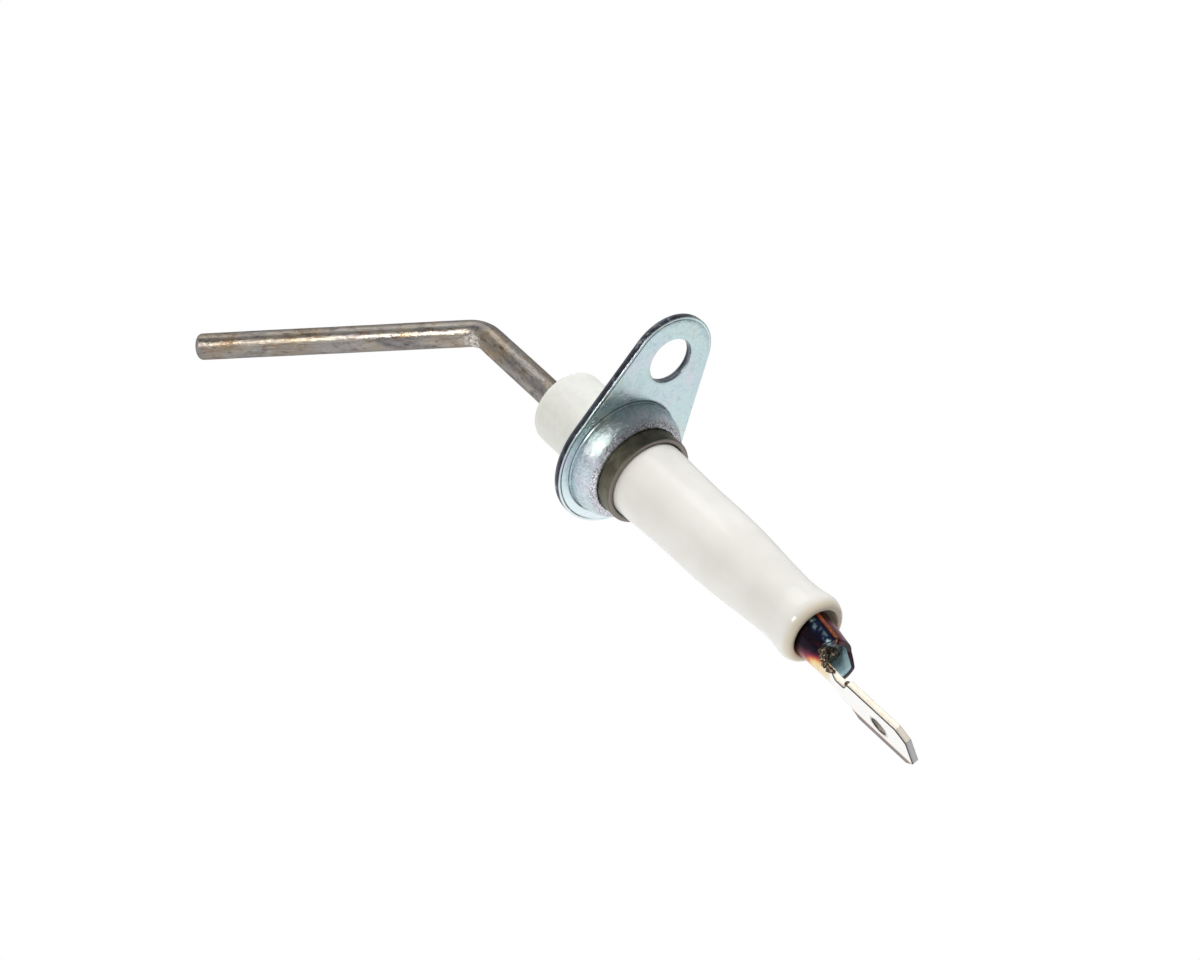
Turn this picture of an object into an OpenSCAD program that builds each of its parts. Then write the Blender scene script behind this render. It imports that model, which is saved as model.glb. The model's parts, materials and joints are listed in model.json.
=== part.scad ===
// Flame sensor probe: a bent metal sensing rod held in a ceramic insulator,
// which a crimped steel mounting bracket carries, with a push-on tab terminal behind.
// +X runs along the insulator from the flame side to the terminal, +Z points to the
// screw hole, and the origin is on the insulator's axis at the bracket's mounting face.

/* [Sensing rod] */
// Diameter of the rod
rod_d = 3.2; // [2.8:0.1:3.4]
// Distance from the mounting face to the corner of the bend
rod_reach = 26.3; // [20:0.1:40]
// Length of the bent leg, from the corner of the bend to the tip
rod_leg = 35.8; // [15:0.1:60]
// Angle the leg is bent through
rod_bend = 45; // [20:1:70]
// Radius of the bend at the middle of the rod
rod_bend_r = 4; // [3:0.5:8]
// Chamfer on the rod's tip
rod_tip_chamfer = 0.4; // [0.1:0.1:0.8]
// Angle about the axis between the screw hole and the plane of the bend
rod_clock = 41.5; // [0:0.5:90]
// How far the rod lies off the insulator's axis, towards the bent side
rod_set = 0.3; // [0:0.05:0.4]

/* [Ceramic insulator] */
// Diameter of the nose that goes through the burner's panel
nose_d = 9.1; // [8.6:0.1:9.2]
// Length of the nose in front of the mounting face
nose_len = 9.9; // [5:0.1:15]
// Position of the insulator's rear end
ceramic_end = 34.7; // [34:0.1:36]
// Diameter of the collar inside the bracket's cup
collar_d = 11.8; // [11:0.1:12]
// Thickness of the collar
collar_t = 1.4; // [1:0.1:1.5]
// Diameter of the bore that the rod lies in
ceramic_bore_d = 4.2; // [4.2:0.1:4.8]
// Diameter of the pocket around the terminal's barrel
pocket_d = 5.6; // [5.5:0.1:6]
// Depth of that pocket
pocket_depth = 5; // [4:0.5:6]

/* [Mounting bracket] */
// Thickness of the bracket's sheet
sheet_t = 0.9; // [0.8:0.1:1]
// Radius of the bracket's large round end
plate_r = 8.45; // [8:0.05:10]
// Radius of the lobe around the screw hole
lobe_r = 5.5; // [4.5:0.1:7]
// Distance from the axis to the screw hole
screw_offset = 12.2; // [11:0.1:16]
// Diameter of the screw hole
screw_hole_d = 5.4; // [4:0.1:6]
// Outer radius of the drawn cup where it leaves the plate
cup_base_r = 6.95; // [6.9:0.05:7.2]
// Outer radius of the cup at its crimped mouth
cup_mouth_r = 5.5; // [5.5:0.05:5.6]
// Position of the crimped mouth
cup_mouth_x = 3.9; // [3.8:0.1:4.2]

/* [Retaining ring] */
// Outer diameter of the ring's tube
ring_d = 10.8; // [10.6:0.1:10.8]
// Position of the ring's rear face
ring_end = 5.9; // [5:0.1:7]
// Thickness of the ring's foot, which the cup's mouth holds
ring_foot_t = 0.7; // [0.4:0.1:0.7]

/* [Terminal] */
// Thickness of the terminal's sheet
tab_t = 0.8; // [0.6:0.1:0.8]
// Width of the push-on tab
tab_w = 6.35; // [6.3:0.05:6.35]
// Position where the tab reaches its full width
tab_start = 43.6; // [42:0.1:45]
// Length of the tab from there to its tip
tab_len = 8.6; // [7:0.1:10]
// Chamfer on the tab's corners, along the tab
tab_chamfer = 1.3; // [0.8:0.1:1.8]
// Diameter of the locking hole
lock_hole_d = 2; // [1.5:0.1:2.2]
// Distance from the tab's tip to the locking hole
lock_hole_back = 4.6; // [4:0.1:5]
// Position where the barrel ends
barrel_end = 38; // [37:0.1:39]
// Width of the neck between barrel and tab
neck_w = 3.4; // [2.8:0.1:4]
// Angle about the axis between the screw hole and the tab's normal
tab_clock = 39; // [0:1:90]
// Angle of the barrel's seam away from the tab's normal
seam_angle = 70; // [0:5:90]

/* [Hidden] */
$fn = 96;

gap = 0.02;                 // clearance between pieces that are pushed together
cut = 0.5;                  // how far a cutting shape runs past what it cuts
steps = 12;                 // straight pieces that stand for one curved stretch

rod_r = rod_d / 2;
rod_end = barrel_end - 0.5;
nose_r = nose_d / 2;
nose_round = 0.8;           // rounding of the nose's front edge
pilot_r = nose_r + 0.3;     // step on the insulator that centres it in the bracket's hole
collar_r = collar_d / 2;
collar_end = sheet_t + collar_t;
pocket_floor = ceramic_end - pocket_depth;
body_start_r = 4.65;
ring_r = ring_d / 2;
barrel_r = rod_r + tab_t;
barrel_start = pocket_floor + 1;
tab_floor = -barrel_r;      // underside of the neck and the tab, from the rod's axis
tab_tip = tab_start + tab_len;
tab_tip_w = 3.9;
shoulder_len = 0.9;         // slope from the neck's width to the tab's
seam_gap = 0.2;             // opening between the barrel's two edges
cheek_end = barrel_end + 1.6;
cheek_side = 0.6;           // the cheek is the barrel's wall on this side of its middle
cheek_slope = 30;           // angle that the cheek's top edge falls at
front_inset = 0.4;          // how far the nose's cement lies behind its front
front_plug = 4;             // length of the cement in the nose
rear_plug = 3;              // length of the cement at the pocket's floor

// Smooth step from 0 to 1
function ease(t) = (1 - cos(180 * t)) / 2;

// Points of a curve that eases from one [x, r] station to the next
function eased(a, b) = [
    for (i = [0 : steps - 1])
        let (t = i / steps)
        [a[0] + (b[0] - a[0]) * t, a[1] + (b[1] - a[1]) * ease(t)]
];

// Points of an ellipse's arc about a centre [x, r], from one angle to another
function arc(centre, rx, rr, from, to) = [
    for (i = [0 : steps])
        let (a = from + (to - from) * i / steps)
        [centre[0] + rx * cos(a), centre[1] + rr * sin(a)]
];

// A solid turned about the X axis from an outline of [x, r] points
module turned(outline) {
    rotate([90, 0, 90])
        rotate_extrude()
            polygon([for (p = outline) [p[1], p[0]]]);
}

// A round bar along X
module bar(from, to, r) {
    translate([from, 0, 0])
        rotate([0, 90, 0])
            cylinder(h = to - from, r = r);
}

// Moves from the insulator's axis to the rod's, then turns to a clock angle about it
module on_rod(clock) {
    translate([0, -rod_set * sin(rod_clock), -rod_set * cos(rod_clock)])
        rotate([-clock, 0, 0])
            children();
}

// The rod: a long straight, one bend and a leg with a chamfered tip
module sensing_rod() {
    tangent = rod_bend_r * tan(rod_bend / 2);
    bend_start = tangent - rod_reach;
    leg = rod_leg - tangent;
    leg_r = rod_r - 0.005;  // drawn a touch thinner by the bending, which leaves a fine step
    leg_joint = 0.1;        // how far the leg runs into the bend
    color([0.47, 0.44, 0.39])
        on_rod(rod_clock) {
            bar(bend_start, rod_end, rod_r);
            translate([bend_start, 0, -rod_bend_r]) {
                rotate([90, 0, 0])
                    rotate([0, 0, 90])
                        rotate_extrude(angle = rod_bend)
                            translate([rod_bend_r, 0])
                                circle(r = rod_r);
                rotate([0, -rod_bend, 0])
                    translate([leg_joint, 0, rod_bend_r])
                        rotate([0, -90, 0]) {
                            cylinder(h = leg + leg_joint - rod_tip_chamfer, r = leg_r);
                            translate([0, 0, leg + leg_joint - rod_tip_chamfer])
                                cylinder(h = rod_tip_chamfer, r1 = leg_r, r2 = leg_r - rod_tip_chamfer);
                        }
            }
        }
}

// The insulator: nose, pilot step, collar, waisted body with a bead at its end, bore and pocket
module ceramic_insulator() {
    body = [
        [ring_end + 0.4, body_start_r],
        [13, 4.35],
        [20, 4.38],
        [28, 3.72],
        [31, 3.62],
        [33.4, 3.97],
    ];
    last = len(body) - 1;
    end_round = 0.8;
    end_centre = [body[last][0], body[last][1] - end_round];
    outline = concat(
        [[-nose_len, 0]],
        arc([nose_round - nose_len, nose_r - nose_round], nose_round, nose_round, 180, 90),
        [
            [0, nose_r],
            [0, pilot_r],
            [sheet_t + gap, pilot_r],
            [sheet_t + gap, collar_r],
            [collar_end, collar_r],
            [collar_end, body_start_r],
        ],
        [for (i = [0 : last - 1]) each eased(body[i], body[i + 1])],
        arc(end_centre, ceramic_end - end_centre[0], end_round, 90, 0),
        [[ceramic_end, 0]]
    );
    pocket_r = pocket_d / 2;
    mouth = 0.3;            // chamfer at the pocket's mouth
    color([0.93, 0.92, 0.89])
        difference() {
            turned(outline);
            bar(-nose_len - cut, ceramic_end, ceramic_bore_d / 2);
            bar(pocket_floor, ceramic_end + cut, pocket_r);
            translate([ceramic_end - mouth, 0, 0])
                rotate([0, 90, 0])
                    cylinder(h = mouth + cut, r1 = pocket_r, r2 = pocket_r + mouth + cut);
        }
}

// The bracket's flat plate: a large round end and a small lobe with straight tangents
module plate_outline() {
    hull_angle = asin((plate_r - lobe_r) / screw_offset);
    far = [lobe_r * cos(hull_angle), screw_offset + lobe_r * sin(hull_angle)];
    near = [plate_r * cos(hull_angle), plate_r * sin(hull_angle)];
    circle(r = plate_r);
    translate([0, screw_offset])
        circle(r = lobe_r);
    polygon([near, far, [-far[0], far[1]], [-near[0], near[1]]]);
}

// The bracket: plate and drawn cup in one sheet, the cup's mouth turned in over the ring
module mounting_bracket() {
    cup_rise = cup_mouth_x - sheet_t;
    cup_narrowing = cup_base_r - cup_mouth_r;
    cup_wall = 0.75;        // the sheet thins a little as it is drawn
    lip_r = ring_r + gap;
    cup = concat(
        [[0, cup_base_r - cup_wall], [0, cup_base_r]],
        arc([sheet_t, cup_mouth_r], cup_rise, cup_narrowing, 90, 0),
        [[cup_mouth_x, lip_r]],
        arc([sheet_t, lip_r], cup_rise - cup_wall, cup_base_r - cup_wall - lip_r, 0, 90)
    );
    color([0.74, 0.82, 0.83])
        difference() {
            union() {
                rotate([90, 0, 90])
                    linear_extrude(sheet_t)
                        plate_outline();
                turned(cup);
            }
            bar(-cut, sheet_t + cut, pilot_r + gap);
            translate([0, 0, screw_offset])
                bar(-cut, sheet_t + cut, screw_hole_d / 2);
        }
}

// The ring: a short tube behind the collar, with a foot that the cup's mouth holds
module retaining_ring() {
    inner_r = body_start_r + gap;
    foot_r = ring_r + 0.2;
    color([0.34, 0.33, 0.28])
        turned([
            [collar_end, inner_r],
            [collar_end, foot_r],
            [collar_end + ring_foot_t, foot_r],
            [collar_end + ring_foot_t, ring_r],
            [ring_end - 0.15, ring_r],
            [ring_end, ring_r - 0.15],
            [ring_end, inner_r],
        ]);
}

// The barrel, rolled round the rod from one side to a seam, with a cheek beyond its end
module terminal_barrel() {
    outer = barrel_r + cut;
    difference() {
        bar(barrel_start, cheek_end, barrel_r);
        bar(barrel_start - cut, cheek_end + cut, rod_r);
        rotate([seam_angle, 0, 0])
            translate([barrel_start - cut, -seam_gap / 2, 0])
                cube([cheek_end - barrel_start + 2 * cut, seam_gap, outer]);
        translate([barrel_end, -outer, -outer])
            cube([cheek_end, outer + cheek_side, 2 * outer]);
        translate([barrel_end, -outer, rod_r + seam_gap])
            rotate([0, cheek_slope, 0])
                cube([4 * outer, 2 * outer, 2 * outer]);
    }
}

// Outline of the neck and the tab along X, with the tab's locking hole
module tab_outline() {
    neck_start = barrel_end - 0.3;
    half_neck = neck_w / 2;
    half = tab_w / 2;
    half_tip = tab_tip_w / 2;
    difference() {
        polygon([
            [neck_start, -half_neck],
            [tab_start - shoulder_len, -half_neck],
            [tab_start, -half],
            [tab_tip - tab_chamfer, -half],
            [tab_tip, -half_tip],
            [tab_tip, half_tip],
            [tab_tip - tab_chamfer, half],
            [tab_start, half],
            [tab_start - shoulder_len, half_neck],
            [neck_start, half_neck],
        ]);
        translate([tab_tip - lock_hole_back, 0])
            circle(d = lock_hole_d);
    }
}

// The terminal: the barrel on the rod's end, with a neck and the push-on tab along its bottom
module terminal() {
    color([0.80, 0.77, 0.68])
        on_rod(tab_clock) {
            terminal_barrel();
            translate([0, 0, tab_floor])
                linear_extrude(tab_t)
                    tab_outline();
        }
}

// The weld that joins the rod's end to the terminal's neck: a dome on the end of the rod
module terminal_weld() {
    dome_h = 1.9;
    color([0.25, 0.22, 0.20])
        on_rod(tab_clock)
            turned(concat([[rod_end, 0]], arc([rod_end, 0], dome_h, rod_r - gap, 90, 0)));
}

// A length of cement that fills the insulator's bore round the rod
module cement(from, to) {
    color([0.85, 0.83, 0.77])
        difference() {
            bar(from, to, ceramic_bore_d / 2);
            on_rod(rod_clock)
                bar(from - cut, to + cut, rod_r);
        }
}

// The cement in the nose, a little behind its front
module front_cement() {
    start = front_inset - nose_len;
    cement(start, start + front_plug);
}

// The cement at the floor of the terminal's pocket
module rear_cement() {
    cement(pocket_floor - rear_plug, pocket_floor);
}

sensing_rod();
ceramic_insulator();
mounting_bracket();
retaining_ring();
terminal();
terminal_weld();
front_cement();
rear_cement();
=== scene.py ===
"""The looks of the flame sensor probe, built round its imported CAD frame.

Lengths are in millimetres in the part's own frame and become metres when a mesh is made.
+X runs along the insulator to the terminal, and +Z points to the bracket's screw hole.
Only the floor and the lights, at the end, are placed in metres.
"""

import json
import math
import random

import bmesh
import bpy
import numpy as np
from mathutils import Matrix, Vector, noise
from mathutils.geometry import delaunay_2d_cdt


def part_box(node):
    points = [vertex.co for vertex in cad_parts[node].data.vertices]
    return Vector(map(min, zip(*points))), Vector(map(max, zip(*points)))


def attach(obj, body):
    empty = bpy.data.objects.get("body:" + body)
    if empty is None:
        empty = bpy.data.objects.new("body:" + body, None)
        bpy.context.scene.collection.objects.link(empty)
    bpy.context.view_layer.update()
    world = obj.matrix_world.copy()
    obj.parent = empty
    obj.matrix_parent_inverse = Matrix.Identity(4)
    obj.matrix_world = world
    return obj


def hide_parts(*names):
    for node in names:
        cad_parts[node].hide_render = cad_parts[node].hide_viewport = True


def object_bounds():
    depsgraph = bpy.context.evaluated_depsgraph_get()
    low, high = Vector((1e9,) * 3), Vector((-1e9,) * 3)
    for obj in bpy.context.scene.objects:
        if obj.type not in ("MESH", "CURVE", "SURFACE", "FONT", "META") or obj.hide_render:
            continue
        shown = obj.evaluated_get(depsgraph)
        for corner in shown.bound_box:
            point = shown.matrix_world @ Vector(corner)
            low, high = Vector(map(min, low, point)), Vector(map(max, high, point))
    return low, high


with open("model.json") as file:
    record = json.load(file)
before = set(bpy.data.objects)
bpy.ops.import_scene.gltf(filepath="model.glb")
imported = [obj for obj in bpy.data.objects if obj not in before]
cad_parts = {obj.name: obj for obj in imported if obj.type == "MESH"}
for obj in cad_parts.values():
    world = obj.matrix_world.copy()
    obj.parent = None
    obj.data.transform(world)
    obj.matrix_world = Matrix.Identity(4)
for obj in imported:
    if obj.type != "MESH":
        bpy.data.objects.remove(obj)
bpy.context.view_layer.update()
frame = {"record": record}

MM = 0.001
TURN = 2 * math.pi
RANDOM = random.Random(11)


# -------------------------------------------------- sizes from the frame

MOUNTS = {m["name"]: m for m in frame["record"]["mounts"]}


def corners(node):
    """A CAD node's lowest and highest corner in millimetres."""
    low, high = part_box(node)
    return low / MM, high / MM


CERAMIC_LOW, CERAMIC_HIGH = corners("ceramic_insulator")
BRACKET_LOW, BRACKET_HIGH = corners("mounting_bracket")
RING_LOW, RING_HIGH = corners("retaining_ring")
TERMINAL_LOW, TERMINAL_HIGH = corners("terminal")
ROD_END = corners("sensing_rod")[1].x

NOSE_R = MOUNTS["nose"]["dims"]["r_mm"]
HOLE = MOUNTS["screw_hole"]
HOLE_R = HOLE["dims"]["r_mm"]
HOLE_Z = HOLE["pos_m"][2] / MM
SHEET = HOLE["dims"]["length_mm"]
PLATE_R = -BRACKET_LOW.z
LOBE_R = BRACKET_HIGH.z - HOLE_Z
CUP_END = BRACKET_HIGH.x
COLLAR_R = CERAMIC_HIGH.z

PILOT_R = NOSE_R + 0.3
BORE_R = 2.1
POCKET_R = 2.8
POCKET_FLOOR = CERAMIC_HIGH.x - 5
BODY_START_R = 4.65
RING_R = 5.4
CUP_BASE_R = 6.95
CUP_WALL = 0.75

ROD_R = 1.6
ROD_REACH = 26.3
ROD_LEG = 35.8
ROD_BEND = math.radians(45)
ROD_BEND_R = 4
ROD_CLOCK = math.radians(41.5)
ROD_SET = 0.3
ROD_TIP_WORN = 0.12

TAB_CLOCK = math.radians(39)
TAB_FLOOR = -2.4
TAB_T = 0.8
TAB_W = 6.35
TAB_TIP_W = 3.9
TAB_START = 43.6
TAB_CHAMFER = 1.3
LOCK_HOLE_R = 1.0
LOCK_HOLE_X = TERMINAL_HIGH.x - 4.6
NECK_W = 3.4


def on_rod(clock):
    """The frame whose X axis is the rod's straight axis, turned to a clock angle."""
    aside = Vector((0, -ROD_SET * math.sin(ROD_CLOCK), -ROD_SET * math.cos(ROD_CLOCK)))
    return Matrix.Translation(aside) @ Matrix.Rotation(-clock, 4, "X")


# -------------------------------------------------- mesh making


def turns_of(count):
    """Angles in radians, spread evenly over a full turn."""
    return [TURN * i / count for i in range(count)]


def add_object(name, data):
    """A new object in the scene."""
    made = bpy.data.objects.new(name, data)
    bpy.context.scene.collection.objects.link(made)
    return made


class Skin:
    """A surface under construction: rings of points, bands between rings, and flat sheets."""

    def __init__(self):
        self.points = []
        self.faces = []
        self.layers = {}

    def ring(self, points, **marks):
        """Adds points and returns their numbers. Each mark is a value kept on the new points."""
        first = len(self.points)
        self.points.extend(Vector(p) for p in points)
        numbers = list(range(first, len(self.points)))
        for name, value in marks.items():
            self.mark(name, numbers, [value] * len(numbers))
        return numbers

    def mark(self, name, numbers, values):
        """Keeps a value on each numbered point."""
        self.layers.setdefault(name, {}).update(zip(numbers, values))

    def band(self, a, b):
        """Quads between two closed rings of the same length."""
        self.faces.extend(zip(a, a[1:] + a[:1], b[1:] + b[:1], b))

    def bands(self, rings, closed=False):
        """Quads between each ring and the next."""
        for a, b in zip(rings, rings[1:] + (rings[:1] if closed else [])):
            self.band(a, b)

    def cap(self, ring, centre):
        """Triangles from a ring to one point."""
        middle = self.ring([centre])[0]
        self.faces.extend((a, b, middle) for a, b in zip(ring, ring[1:] + ring[:1]))

    def sheet(self, loops, inside, plan):
        """Triangles over the area between loops, where plan gives each point's place in the flat.

        Each loop runs with the area on its left."""
        numbers = [n for loop in loops for n in loop] + inside
        edges = []
        for loop in loops:
            first = len(edges)
            edges.extend((first + i, first + (i + 1) % len(loop)) for i in range(len(loop)))
        spots = [Vector(plan[n]) for n in numbers]
        _, _, triangles, sources, _, _ = delaunay_2d_cdt(spots, edges, [], 0, 1e-7)
        if any(not s for s in sources):
            raise ValueError("two edges of a sheet cross")
        places = {n: (k, i) for k, loop in enumerate(loops) for i, n in enumerate(loop)}
        for triangle in triangles:
            face = [numbers[sources[v][0]] for v in triangle]
            if not against_loop(face, places):
                self.faces.append(face)

    def finish(self, name, material, slot, node, sharp=35):
        """Makes the piece: a smooth-shaded object that stands for a CAD node."""
        mesh = bpy.data.meshes.new(name)
        mesh.from_pydata([p * MM for p in self.points], [], self.faces)
        mesh.validate()
        numbers = range(len(self.points))
        for layer, values in self.layers.items():
            if isinstance(next(iter(values.values())), float):
                kept = mesh.attributes.new(layer, "FLOAT", "POINT")
                kept.data.foreach_set("value", [values.get(n, 0.0) for n in numbers])
            else:
                kept = mesh.attributes.new(layer, "FLOAT_VECTOR", "POINT")
                kept.data.foreach_set("vector", [c for n in numbers for c in values.get(n, (0,) * 3)])
        return as_piece(mesh, name, material, node, sharp)


def against_loop(face, places):
    """Whether a triangle lies outside a sheet, where places gives a loop point's (loop, order).

    Its corners are then all on one loop and come against that loop's order. This holds for the
    thinnest sliver too, where a test of its middle fails."""
    if any(number not in places for number in face):
        return False
    (loop_a, a), (loop_b, b), (loop_c, c) = (places[number] for number in face)
    steps_forward = (a < b) + (b < c) + (c < a)
    return loop_a == loop_b == loop_c and steps_forward != 2


def as_piece(mesh, name, material, node, sharp):
    """An object that wears a material, rides on the body and stands for a CAD node."""
    face_outwards(mesh)
    mesh.materials.append(material)
    mesh.polygons.foreach_set("use_smooth", [True] * len(mesh.polygons))
    mesh.set_sharp_from_angle(angle=math.radians(sharp))
    piece = add_object(name, mesh)
    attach(piece, "root")
    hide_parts(node)
    return piece


def face_outwards(mesh):
    """Turns every face of a closed mesh to the outside."""
    work = bmesh.new()
    work.from_mesh(mesh)
    bmesh.ops.recalc_face_normals(work, faces=work.faces)
    work.to_mesh(mesh)
    work.free()


def within(spots, loops):
    """Whether each spot lies inside an odd number of the flat loops."""
    spots = np.array([tuple(s) for s in spots])
    inside = np.zeros(len(spots), bool)
    for loop in loops:
        ends = np.array([tuple(p) for p in loop])
        for (ax, ay), (bx, by) in zip(ends, np.roll(ends, -1, axis=0)):
            crosses = (ay > spots[:, 1]) != (by > spots[:, 1])
            if crosses.any():
                at = ax + (spots[:, 1] - ay) * (bx - ax) / (by - ay if by != ay else 1)
                inside ^= crosses & (spots[:, 0] < at)
    return inside


def scatter(loops, spacing):
    """Spots on a jittered triangular grid, inside the loops and clear of their edges."""
    edge = np.array([tuple(p) for loop in loops for p in loop])
    low, high = edge.min(0), edge.max(0)
    spots = []
    row = 0
    v = low[1]
    while v < high[1]:
        u = low[0] + (row % 2) * spacing / 2
        while u < high[0]:
            spots.append((u + RANDOM.uniform(-0.1, 0.1) * spacing, v))
            u += spacing
        v += spacing * 0.866
        row += 1
    kept = [s for s, keep in zip(spots, within(spots, loops)) if keep]
    return [s for s in kept if np.hypot(*(edge - s).T).min() > 0.6 * spacing]


def circle(r, count, x, centre=(0.0, 0.0)):
    """A ring of points round the X axis, or round a parallel axis at centre (y, z)."""
    turns = turns_of(count)
    return [(x, centre[0] + r * math.cos(a), centre[1] + r * math.sin(a)) for a in turns]


def rounded(outline, steps=5):
    """A closed flat outline of (u, v, radius) corners, with each corner turned into an arc."""
    made = []
    for i, (u, v, radius) in enumerate(outline):
        p = Vector((u, v))
        before = Vector(outline[i - 1][:2]) - p
        after = Vector(outline[(i + 1) % len(outline)][:2]) - p
        half = before.angle(after) / 2
        if radius <= 0 or half > math.radians(89):
            made.append(p)
            continue
        reach = radius / math.tan(half)
        reach = min(reach, 0.48 * before.length, 0.48 * after.length)
        radius = reach * math.tan(half)
        to_centre = (before.normalized() + after.normalized()).normalized()
        centre = p + to_centre * (radius / math.sin(half))
        first = (p + before.normalized() * reach - centre).normalized()
        last = (p + after.normalized() * reach - centre).normalized()
        for k in range(steps + 1):
            made.append(centre + first.slerp(last, k / steps) * radius)
    return made


def divided(loop, spacing):
    """The same closed path with points added along stretches longer than the spacing."""
    made = []
    for a, b in zip(loop, loop[1:] + loop[:1]):
        parts = max(1, math.ceil((b - a).length / spacing))
        made.extend(a.lerp(b, k / parts) for k in range(parts))
    return made


def inset(loop, by):
    """A loop of flat points moved a small distance to its left, which is into the material."""
    moved = []
    for i, p in enumerate(loop):
        before = (p - loop[i - 1]).normalized()
        after = (loop[(i + 1) % len(loop)] - p).normalized()
        left = Vector((-before.y - after.y, before.x + after.x)).normalized()
        lean = max(0.5, left.dot(Vector((-before.y, before.x))))
        moved.append(p + left * (by / lean))
    return moved


def arc(centre, rx, rr, start, end, steps):
    """Points (x, r) of an ellipse's arc, from one angle in degrees to another."""
    angles = [math.radians(start + (end - start) * k / steps) for k in range(steps + 1)]
    return [(centre[0] + rx * math.cos(a), centre[1] + rr * math.sin(a)) for a in angles]


def smooth(t):
    """Smooth step from 0 to 1, level outside them."""
    t = min(1.0, max(0.0, t))
    return t * t * (3 - 2 * t)


def grain(p, size, seed=0.0):
    """Smooth noise from about -1 to 1 with lumps of the given size."""
    return noise.noise(Vector(p) / size + Vector((seed, 3 * seed, 7 * seed)))


def lathe(profile, count, wobble):
    """A Skin turned about X from a closed profile of (x, r) points.

    wobble gives a small radial change at a point."""
    skin = Skin()
    rings = []
    for x, r in profile:
        points = [Vector(p) for p in circle(r, count, x)]
        for p in points:
            p.yz *= 1 + wobble(p) / r
        rings.append(skin.ring(points))
    skin.bands(rings, closed=True)
    return skin


# -------------------------------------------------- materials


class Tree:
    """A node tree, with short calls for what the finishes, the floor and the world share."""

    def __init__(self, owner):
        owner.use_nodes = True
        self.nodes = owner.node_tree.nodes
        self.links = owner.node_tree.links
        self.nodes.clear()

    def node(self, kind, *values, **settings):
        """A new node, with values for its first sockets in their order."""
        made = self.nodes.new(kind)
        for name, value in settings.items():
            setattr(made, name, value)
        for socket, value in zip(made.inputs, values):
            self.give(socket, value)
        return made

    def give(self, socket, value):
        """Links a node's output to a socket, or sets the socket to a plain value."""
        if isinstance(value, bpy.types.NodeSocket):
            self.links.new(value, socket)
        else:
            socket.default_value = value

    def maths(self, operation, a, b):
        return self.node("ShaderNodeMath", a, b, operation=operation).outputs[0]

    def measure(self, operation, a, b):
        """One number from two vectors."""
        return self.node("ShaderNodeVectorMath", a, b, operation=operation).outputs["Value"]

    def level(self, value, low, high, out_low=0.0, out_high=1.0):
        """Maps low..high to out_low..out_high, smoothly and held at both ends."""
        ends = (low, high, out_low, out_high)
        made = self.node("ShaderNodeMapRange", value, *ends, interpolation_type="SMOOTHSTEP")
        return made.outputs["Result"]

    def show(self, output, factor, a, b):
        """Sends one shader or the other, or their mix, to an output node."""
        self.node(output, self.node("ShaderNodeMixShader", factor, a, b).outputs[0])


class Finish(Tree):
    """A material with one principled shader, patterned by its place on the object."""

    def __init__(self, name, **sockets):
        self.material = bpy.data.materials.new(name)
        super().__init__(self.material)
        self.shader = self.node("ShaderNodeBsdfPrincipled")
        self.node("ShaderNodeOutputMaterial", self.shader.outputs[0])
        self.set(**sockets)
        self.place = self.scaled(self.node("ShaderNodeTexCoord").outputs["Object"], (1 / MM,) * 3)

    def set(self, **sockets):
        """Drives the shader's sockets."""
        for name, value in sockets.items():
            self.give(self.shader.inputs[name.replace("_", " ")], value)

    def scaled(self, vector, scale):
        return self.node("ShaderNodeVectorMath", vector, scale, operation="MULTIPLY").outputs[0]

    def value(self, attribute):
        """A value kept on the mesh's points."""
        return self.node("ShaderNodeAttribute", attribute_name=attribute).outputs["Fac"]

    def vector(self, attribute):
        """A vector kept on the mesh's points."""
        return self.node("ShaderNodeAttribute", attribute_name=attribute).outputs["Vector"]

    def noise(self, size, detail=3.0, roughness=0.55, distortion=0.0, place=None):
        """Noise with lumps of the given size in millimetres."""
        made = self.node("ShaderNodeTexNoise", place or self.place)
        made.inputs["Scale"].default_value = 1 / size
        made.inputs["Detail"].default_value = detail
        made.inputs["Roughness"].default_value = roughness
        made.inputs["Distortion"].default_value = distortion
        return made.outputs["Fac"]

    def cells(self, size):
        """Distance from the nearest of scattered spots, a given size apart in millimetres."""
        made = self.node("ShaderNodeTexVoronoi", self.place)
        made.inputs["Scale"].default_value = 1 / size
        return made.outputs["Distance"]

    def ramp(self, value, stops):
        """Colours or greys at places from 0 to 1."""
        made = self.node("ShaderNodeValToRGB", value)
        elements = made.color_ramp.elements
        while len(elements) < len(stops):
            elements.new(1.0)
        for element, (at, colour) in zip(elements, stops):
            element.position = at
            element.color = (*colour, 1.0)
        return made.outputs["Color"]

    def mix(self, factor, a, b, blend="MIX"):
        """A colour between a and b."""
        made = self.node("ShaderNodeMix", data_type="RGBA", blend_type=blend)
        self.give(made.inputs["Factor"], factor)
        self.give(made.inputs[6], rgba(a))
        self.give(made.inputs[7], rgba(b))
        return made.outputs[2]

    def scale(self, value, by):
        return self.maths("MULTIPLY", value, by)

    def part(self, axis):
        """One coordinate of the place in millimetres."""
        return self.node("ShaderNodeSeparateXYZ", self.place).outputs[axis]

    def relief(self, *layers):
        """Bump from (height from 0 to 1, depth in millimetres) layers."""
        normal = None
        for height, depth in layers:
            made = self.node("ShaderNodeBump")
            made.inputs["Distance"].default_value = depth * MM
            self.give(made.inputs["Height"], height)
            if normal:
                self.give(made.inputs["Normal"], normal)
            normal = made.outputs[0]
        self.set(Normal=normal)


def rgba(colour):
    """A colour with its alpha, or a socket as it is."""
    return colour if isinstance(colour, bpy.types.NodeSocket) else (*colour, 1.0)


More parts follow.
